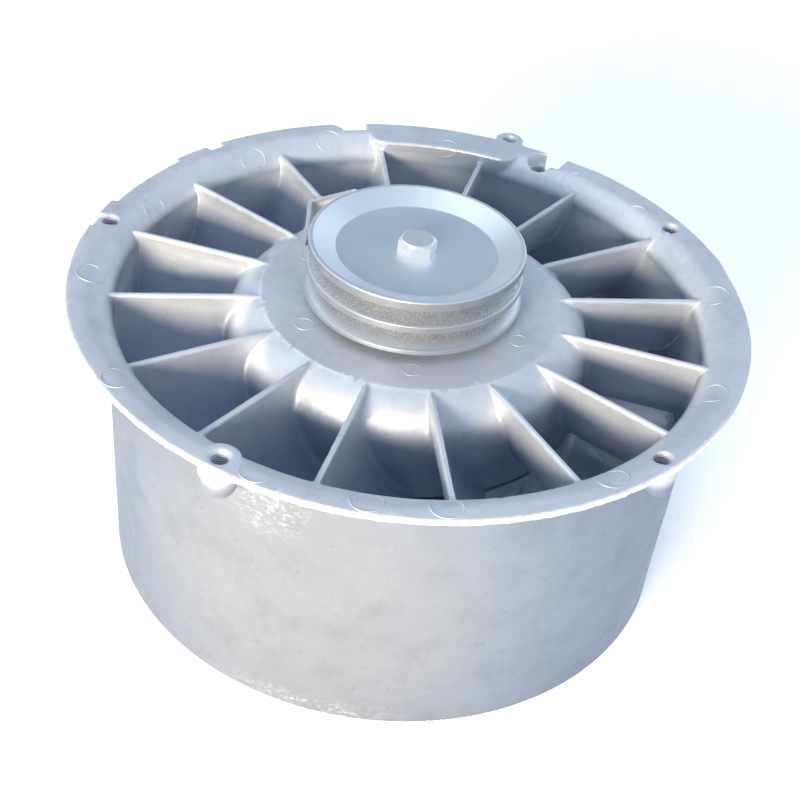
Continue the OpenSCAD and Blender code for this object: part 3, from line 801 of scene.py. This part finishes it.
class Shader:
    """A node material with a Principled shader, built by short calls. Its places are in metres."""

    def __init__(self, name):
        self.material = bpy.data.materials.new(name)
        self.material.use_nodes = True
        self.nodes = self.material.node_tree.nodes
        self.links = self.material.node_tree.links
        self.main = self.nodes["Principled BSDF"]
        self.place = self.nodes.new("ShaderNodeTexCoord").outputs["Object"]

    def set(self, **values):
        for key, value in values.items():
            self.main.inputs[key.replace("_", " ")].default_value = value

    def feed(self, socket, value):
        """Links a value to a socket, or sets it if it is a number or a colour."""
        if hasattr(value, "links"):
            self.links.new(value, socket)
        else:
            socket.default_value = value

    def link(self, source, target):
        self.links.new(source, self.main.inputs[target])

    def noise(self, scale, detail=4.0, rough=0.55, stretch=(1, 1, 1)):
        mapping = self.nodes.new("ShaderNodeMapping")
        mapping.inputs["Scale"].default_value = stretch
        self.links.new(self.place, mapping.inputs["Vector"])
        node = self.nodes.new("ShaderNodeTexNoise")
        node.inputs["Scale"].default_value = scale
        node.inputs["Detail"].default_value = detail
        node.inputs["Roughness"].default_value = rough
        self.links.new(mapping.outputs["Vector"], node.inputs["Vector"])
        return node.outputs["Fac"]

    def math(self, operation, a, b=0.0):
        node = self.nodes.new("ShaderNodeMath")
        node.operation = operation
        self.feed(node.inputs[0], a)
        self.feed(node.inputs[1], b)
        return node.outputs[0]

    def step(self, value, start, end):
        """0 where the value is at start, 1 where it is at end, and smooth between."""
        node = self.nodes.new("ShaderNodeMapRange")
        node.interpolation_type = "SMOOTHSTEP"
        self.feed(node.inputs["Value"], value)
        if start < end:
            limits = (start, end, 0.0, 1.0)
        else:
            limits = (end, start, 1.0, 0.0)
        for key, limit in zip(("From Min", "From Max", "To Min", "To Max"), limits):
            node.inputs[key].default_value = limit
        return node.outputs["Result"]

    def product(self, *masks):
        total = masks[0]
        for mask in masks[1:]:
            total = self.math("MULTIPLY", total, mask)
        return total

    def position(self):
        """Radius from the axis, y and height of the shaded place."""
        split = self.nodes.new("ShaderNodeSeparateXYZ")
        self.links.new(self.place, split.inputs[0])
        squares = [self.math("MULTIPLY", split.outputs[i], split.outputs[i]) for i in (0, 1)]
        radius = self.math("SQRT", self.math("ADD", *squares))
        return radius, split.outputs["Y"], split.outputs["Z"]

    def near(self, place, inner, outer):
        """1 within the inner distance of a place, fading to 0 at the outer one."""
        node = self.nodes.new("ShaderNodeVectorMath")
        node.operation = "DISTANCE"
        self.links.new(self.place, node.inputs[0])
        node.inputs[1].default_value = place
        return self.step(node.outputs["Value"], outer, inner)

    def ramp(self, source, stops):
        node = self.nodes.new("ShaderNodeValToRGB")
        ramp = node.color_ramp
        while len(ramp.elements) < len(stops):
            ramp.elements.new(0.5)
        for element, (where, value) in zip(ramp.elements, stops):
            element.position = where
            element.color = (*value, 1) if isinstance(value, tuple) else (value, value, value, 1)
        self.links.new(source, node.inputs["Fac"])
        return node.outputs["Color"]

    def mix(self, share, a, b, mode="MIX"):
        node = self.nodes.new("ShaderNodeMix")
        node.data_type = "RGBA"
        node.blend_type = mode
        self.feed(node.inputs["Factor"], share)
        self.feed(node.inputs[6], (*a, 1) if isinstance(a, tuple) else a)
        self.feed(node.inputs[7], (*b, 1) if isinstance(b, tuple) else b)
        return node.outputs[2]

    def bump(self, layers):
        """Bump from several height sources: (source, strength, distance in metres)."""
        last = None
        for source, strength, distance in layers:
            node = self.nodes.new("ShaderNodeBump")
            self.feed(node.inputs["Strength"], strength)
            node.inputs["Distance"].default_value = distance
            self.links.new(source, node.inputs["Height"])
            if last is not None:
                self.links.new(last, node.inputs["Normal"])
            last = node.outputs["Normal"]
        self.links.new(last, self.main.inputs["Normal"])


def on_shroud(azimuth, height):
    """Place in metres on the outside of the shroud, from an azimuth and a height in millimetres."""
    a = math.radians(azimuth)
    return (SHROUD_AT * math.cos(a), SHROUD_AT * math.sin(a), height * MM)


def cast_aluminium():
    """Satin cast metal: bright on the filed rim. Painted light in the pocket and on the front of the shroud,
    painted shade on the rest of the shroud and far down inside the duct, and a painted highlight along the
    vane tops.
    """
    s = Shader("cast_aluminium")
    radius, y, z = s.position()
    broad = s.noise(8, 4, 0.55)
    blotch = s.noise(38, 5, 0.65)
    speck = s.noise(190, 5, 0.7)
    grain = s.noise(1100, 2, 0.6)
    drag = s.noise(26, 4, 0.6, stretch=(1, 1, 7))

    tone = s.ramp(broad, [(0.3, (0.56, 0.59, 0.63)), (0.7, (0.67, 0.70, 0.74))])
    tone = s.mix(0.55, tone, s.ramp(blotch, [(0.34, 0.82), (0.50, 1.0), (0.68, 1.08)]), "MULTIPLY")
    tone = s.mix(0.5, tone, s.ramp(speck, [(0.30, 0.72), (0.40, 1.0)]), "MULTIPLY")

    top = FLANGE_TOP * MM
    # Painted shade: the inside of the duct, between hub and shroud and below the mouth, is darkened and
    # tinted blue.
    painted_depth_shade = s.product(
        s.step(radius, 0.165, 0.161),
        s.step(z, top - 0.010, top - 0.050),
        s.step(z, 0.1055, 0.1075),
        s.step(radius, 0.100, 0.1022),
    )
    tone = s.mix(painted_depth_shade, tone, s.mix(1.0, tone, (0.50, 0.58, 0.74), "MULTIPLY"))

    # Painted light and shade on the outside of the shroud: darkened and tinted blue at the sides, with a
    # lighter, warmer patch painted at the front where the key light falls.
    shroud_outside = s.product(s.step(radius, 0.1635, 0.1650), s.step(z, top - 0.008, top - 0.016))
    front_light_patch = s.near(on_shroud(-103, 80), 0.050, 0.190)
    shroud_painted_light = s.mix(front_light_patch, (0.36, 0.42, 0.51), (0.50, 0.50, 0.505))
    tone = s.mix(shroud_outside, tone, s.mix(1.0, tone, shroud_painted_light, "MULTIPLY"))

    # Painted highlight: the top edges of the vanes are lightened a fifth of the way toward pale grey, and the
    # same mask makes them smoother.
    vane_top = VANE_TOP * MM
    vane_top_highlight = s.product(
        s.step(z, vane_top - 0.0012, vane_top - 0.0004),
        s.step(radius, 0.086, 0.092),
        s.step(radius, 0.1665, 0.1655),
    )
    tone = s.mix(s.math("MULTIPLY", vane_top_highlight, 0.2), tone, (0.84, 0.86, 0.88))

    # Painted light: the inside of the pocket in the hub's face lies in shade, and is painted bright cream and
    # made less metallic.
    in_pocket = s.near((-0.046, 0.094, top - 0.026), 0.022, 0.029)
    pocket = s.product(in_pocket, s.step(z, top - 0.0075, top - 0.0100))
    tone = s.mix(pocket, tone, (0.97, 0.94, 0.88))

    rim = s.product(
        s.step(radius, 0.1880, 0.1888),
        s.step(z, top - 0.0050, top - 0.0042),
        s.step(z, top + 0.0002, top - 0.0006),
        s.step(y, -0.06, -0.11),
    )
    filed = [(0.30, (0.60, 0.54, 0.46)), (0.44, (0.90, 0.85, 0.77)), (0.62, (1.0, 0.97, 0.91))]
    rough_rim = s.ramp(s.noise(640, 4, 0.75), filed)
    tone = s.mix(rim, tone, rough_rim)

    scratch = s.ramp(s.noise(240, 5, 0.8, stretch=(1, 1, 1.8)), [(0.50, 0.0), (0.64, 1.0)])
    near_rim = s.near(on_shroud(-110, 143), 0.004, 0.030)
    low_edge = s.product(s.near(on_shroud(-101, 3), 0.02, 0.062), s.step(z, 0.016, 0.003))
    scuffed = s.product(s.math("MAXIMUM", near_rim, low_edge), scratch)
    tone = s.mix(s.math("MULTIPLY", scuffed, 0.45), tone, (0.93, 0.90, 0.86))
    s.link(tone, "Base Color")

    shine = s.mix(0.5, s.ramp(speck, [(0.3, 0.60), (0.7, 0.48)]), s.ramp(drag, [(0.3, 0.56), (0.7, 0.46)]))
    shine = s.mix(vane_top_highlight, shine, (0.42, 0.42, 0.42))
    shine = s.mix(scuffed, shine, (0.62, 0.62, 0.62))
    s.link(shine, "Roughness")
    s.link(s.math("SUBTRACT", 0.6, s.math("MULTIPLY", pocket, 0.5)), "Metallic")
    s.bump([
        (broad, 0.30, 0.003),
        (blotch, 0.22, 0.0012),
        (speck, 0.22, 0.0004),
        (grain, 0.30, 0.00012),
        (rough_rim, s.math("MULTIPLY", rim, 0.8), 0.0008),
        (scratch, s.math("MULTIPLY", scuffed, 0.6), 0.0005),
    ])
    return s.material


def pulley_metal():
    """Smooth satin on the face, duller along the rims, and coarse grain in the belt grooves."""
    s = Shader("pulley_metal")
    radius, _, z = s.position()
    top, low = PULLEY_TOP * MM, PULLEY_LOW * MM
    wall = s.product(
        s.step(radius, 0.0594, 0.0588),
        s.step(radius, 0.0465, 0.0480),
        s.step(z, top - 0.0046, top - 0.0056),
        s.step(z, low + 0.003, low + 0.006),
    )
    broad = s.noise(22, 4, 0.6)
    fine = s.noise(700, 2, 0.6)
    coarse = s.noise(820, 3, 0.7)
    turned = s.noise(1, 3, 0.5, stretch=(1, 1, 1400))
    face = s.ramp(broad, [(0.3, (0.70, 0.74, 0.78)), (0.7, (0.78, 0.82, 0.86))])
    grains = [(0.30, (0.38, 0.40, 0.43)), (0.52, (0.56, 0.58, 0.60)), (0.70, (0.80, 0.81, 0.82))]
    groove = s.ramp(coarse, grains)
    edge = s.step(radius, 0.0592, 0.0602)
    face = s.mix(edge, face, (0.52, 0.54, 0.56))
    s.link(s.mix(wall, face, groove), "Base Color")
    shine = s.mix(wall, s.ramp(fine, [(0.3, 0.46), (0.7, 0.36)]), s.ramp(coarse, [(0.3, 0.62), (0.7, 0.46)]))
    s.link(shine, "Roughness")
    s.set(Metallic=0.85)
    s.bump([(turned, 0.08, 0.0003), (fine, 0.25, 0.00012), (coarse, s.math("MULTIPLY", wall, 0.7), 0.0004)])
    return s.material


def plated_steel():
    """Zinc plate, a little mottled and worn."""
    s = Shader("zinc_steel")
    broad = s.noise(90, 4, 0.6)
    grain = s.noise(1500, 2, 0.6)
    s.link(s.ramp(broad, [(0.3, (0.74, 0.76, 0.77)), (0.7, (0.92, 0.93, 0.93))]), "Base Color")
    s.link(s.ramp(broad, [(0.3, 0.44), (0.7, 0.28)]), "Roughness")
    s.set(Metallic=0.8)
    s.bump([(broad, 0.12, 0.0004), (grain, 0.25, 0.0001)])
    return s.material


def plain_steel(name, tone, rough):
    """Turned steel: fine rings along the axis and a slightly uneven sheen."""
    s = Shader(name)
    broad = s.noise(70, 4, 0.6)
    fine = s.noise(30, 3, 0.6, stretch=(1, 1, 60))
    s.link(s.ramp(broad, [(0.3, tuple(c * 0.8 for c in tone)), (0.7, tone)]), "Base Color")
    s.link(s.ramp(fine, [(0.3, rough + 0.08), (0.7, rough)]), "Roughness")
    s.set(Metallic=1.0)
    s.bump([(fine, 0.15, 0.0002)])
    return s.material


def seal_rubber():
    s = Shader("seal_rubber")
    grain = s.noise(500, 3, 0.6)
    s.link(s.ramp(grain, [(0.3, (0.02, 0.02, 0.022)), (0.7, (0.05, 0.05, 0.055))]), "Base Color")
    s.link(s.ramp(grain, [(0.3, 0.7), (0.7, 0.5)]), "Roughness")
    s.bump([(grain, 0.3, 0.0002)])
    return s.material


def floor_material():
    s = Shader("studio_floor")
    broad = s.noise(3, 2, 0.5)
    s.link(s.ramp(broad, [(0.3, (0.93, 0.93, 0.93)), (0.7, (0.95, 0.95, 0.95))]), "Base Color")
    s.main.inputs["Emission Color"].default_value = (1, 1, 1, 1)
    s.main.inputs["Emission Strength"].default_value = FLOOR_GLOW
    s.set(Roughness=0.9)
    return s.material


def dress(piece, material, body):
    piece.data.materials.clear()
    piece.data.materials.append(material)
    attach(piece, body)


# ---- Camera and light ----

# Degrees the camera looks down and is rolled, and its place in millimetres from the flange's face
CAMERA_PITCH = 38.227
CAMERA_ROLL = 6.765
CAMERA_PLACE = (0.475, -701.3, 471.8)
CAMERA_LENS = 67.81
KEY_PLACE = (-0.95, -2.2, 0.78)
KEY_SIZE = (0.9, 0.5)
KEY_POWER = 98
KEY_TINT = (1.0, 0.86, 0.68)
# Colours of the studio, as a share of full white
HORIZON = (0.90, 0.94, 1.0)
CEILING = (0.48, 0.61, 0.80)
REAR_SKY = (0.19, 0.28, 0.39)
RIGHT_BOX = (1.00, 1.18, 1.40)
SOFT_BOX = (1.25, 1.48, 1.70)


def make_camera():
    """The camera looks down from in front of the blower, and is rolled by a few degrees."""
    pitch, roll = math.radians(CAMERA_PITCH), math.radians(CAMERA_ROLL)
    forward = Vector((0, math.cos(pitch), -math.sin(pitch)))
    level = Vector((1, 0, 0))
    level_up = level.cross(forward)
    right = math.cos(roll) * level + math.sin(roll) * level_up
    up = -math.sin(roll) * level + math.cos(roll) * level_up
    data = bpy.data.cameras.new("camera")
    data.lens = CAMERA_LENS
    data.sensor_width = 36.0
    data.clip_end = 50
    camera = bpy.data.objects.new("camera", data)
    turn = Matrix((right, up, -forward)).transposed().to_4x4()
    place = (Vector(CAMERA_PLACE) + Vector((0, 0, FLANGE_TOP))) * MM
    camera.matrix_world = Matrix.Translation(place) @ turn
    bpy.context.scene.collection.objects.link(camera)
    bpy.context.scene.camera = camera


def area_light(name, place, target, size, power, tint):
    data = bpy.data.lights.new(name, "AREA")
    data.shape = "RECTANGLE"
    data.size, data.size_y = size
    data.energy = power
    data.color = tint
    lamp = bpy.data.objects.new(name, data)
    lamp.location = place
    lamp.rotation_euler = (Vector(target) - Vector(place)).to_track_quat("-Z", "Y").to_euler()
    bpy.context.scene.collection.objects.link(lamp)


class Sky:
    """World colour by direction: layers laid over each other."""

    def __init__(self, tree):
        self.nodes, self.links = tree.nodes, tree.links
        self.toward = self.nodes.new("ShaderNodeTexCoord").outputs["Generated"]

    def share(self, direction, start, end):
        """0 to 1 as the cosine of the angle to a direction goes from start to end."""
        dot = self.nodes.new("ShaderNodeVectorMath")
        dot.operation = "DOT_PRODUCT"
        self.links.new(self.toward, dot.inputs[0])
        dot.inputs[1].default_value = Vector(direction).normalized()
        ease = self.nodes.new("ShaderNodeMapRange")
        ease.interpolation_type = "SMOOTHSTEP"
        ease.inputs["From Min"].default_value = start
        ease.inputs["From Max"].default_value = end
        self.links.new(dot.outputs["Value"], ease.inputs["Value"])
        return ease.outputs["Result"]

    def lay(self, below, share, colour):
        """A colour laid over another one by a share."""
        node = self.nodes.new("ShaderNodeMix")
        node.data_type = "RGBA"
        if isinstance(below, tuple):
            node.inputs[6].default_value = (*below, 1)
        else:
            self.links.new(below, node.inputs[6])
        self.links.new(share, node.inputs["Factor"])
        node.inputs[7].default_value = (*colour, 1)
        return node.outputs[2]


def make_world():
    """A studio with a blue ceiling, a pale horizon, a dim patch behind and two cool soft boxes."""
    world = bpy.data.worlds.new("studio")
    bpy.context.scene.world = world
    world.use_nodes = True
    sky = Sky(world.node_tree)
    colour = sky.lay(HORIZON, sky.share((0, 0, 1), 0.05, 0.45), CEILING)
    colour = sky.lay(colour, sky.share((-0.10, 0.78, 0.62), 0.86, 0.95), REAR_SKY)
    colour = sky.lay(colour, sky.share((0.48, 0.73, 0.49), 0.92, 0.975), RIGHT_BOX)
    colour = sky.lay(colour, sky.share((-0.40, 0.20, 0.90), 0.86, 0.95), SOFT_BOX)
    sky.links.new(colour, world.node_tree.nodes["Background"].inputs["Color"])


def make_light():
    make_world()
    centre = (0, 0, 0.12)
    area_light("key", KEY_PLACE, centre, KEY_SIZE, KEY_POWER, KEY_TINT)


def make_floor():
    bpy.ops.mesh.primitive_plane_add(size=14, location=(0, 0, -0.0002))
    floor = bpy.context.active_object
    floor.name = "floor"
    floor.data.materials.append(floor_material())


bpy.context.scene.view_settings.view_transform = "Standard"
make_camera()
make_light()
make_floor()

aluminium = cast_aluminium()
zinc = plated_steel()

shell = make_casting()
dress(shell, aluminium, "casing")
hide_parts("casing", "guide_vanes", "stator_hub")

pin_rings = make_pin_rings()
dress(pin_rings, aluminium, "casing")

impeller = make_impeller()
dress(impeller, aluminium, "rotor")
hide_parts("impeller_hub", "impeller_blades")

pulley = make_pulley()
dress(pulley, pulley_metal(), "rotor")
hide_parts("pulley")

bolt_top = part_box("pulley_bolt")[1].z / MM
bolt = hexagon_bolt_head("hex_bolt", BOLT_FLATS, bolt_top - BOLT_HEAD_H, bolt_top, 12.0, 1.4)
dress(bolt, zinc, "rotor")
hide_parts("pulley_bolt")

nut_low, nut_high = (corner.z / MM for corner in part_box("impeller_nut"))
nut = hexagon_nut("hex_nut", NUT_FLATS, nut_low, nut_high, 0.0, 1.6, bore=NUT_BORE_R)
dress(nut, zinc, "rotor")
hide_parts("impeller_nut")

for number, az in enumerate(FIXING_AZ):
    a = math.radians(az)
    centre = (FIXING_R * math.cos(a), FIXING_R * math.sin(a))
    low, high = FLANGE_TOP - TAP_DEPTH + 1, FLANGE_TOP - 1.2
    ridge = thread(f"tapped_thread_{number + 1}", TAP_MINOR_R, TAP_MAJOR_R, low, high, centre)
    dress(ridge, aluminium, "casing")

finishes = {
    "shaft_steel": plain_steel("shaft_steel", (0.55, 0.56, 0.58), 0.3),
    "zinc_steel": zinc,
    "bearing_steel": plain_steel("bearing_steel", (0.75, 0.76, 0.77), 0.12),
    "cage_steel": plain_steel("cage_steel", (0.58, 0.58, 0.58), 0.3),
    "spring_steel": plain_steel("spring_steel", (0.20, 0.20, 0.22), 0.35),
    "seal_rubber": seal_rubber(),
    "cast_aluminium": aluminium,
    "pulley_metal": pulley.data.materials[0],
}
for entry in frame["record"]["subparts"]:
    node = frame["nodes"][entry["node"]]
    node.data.materials.clear()
    node.data.materials.append(finishes[entry["material_slot"]])
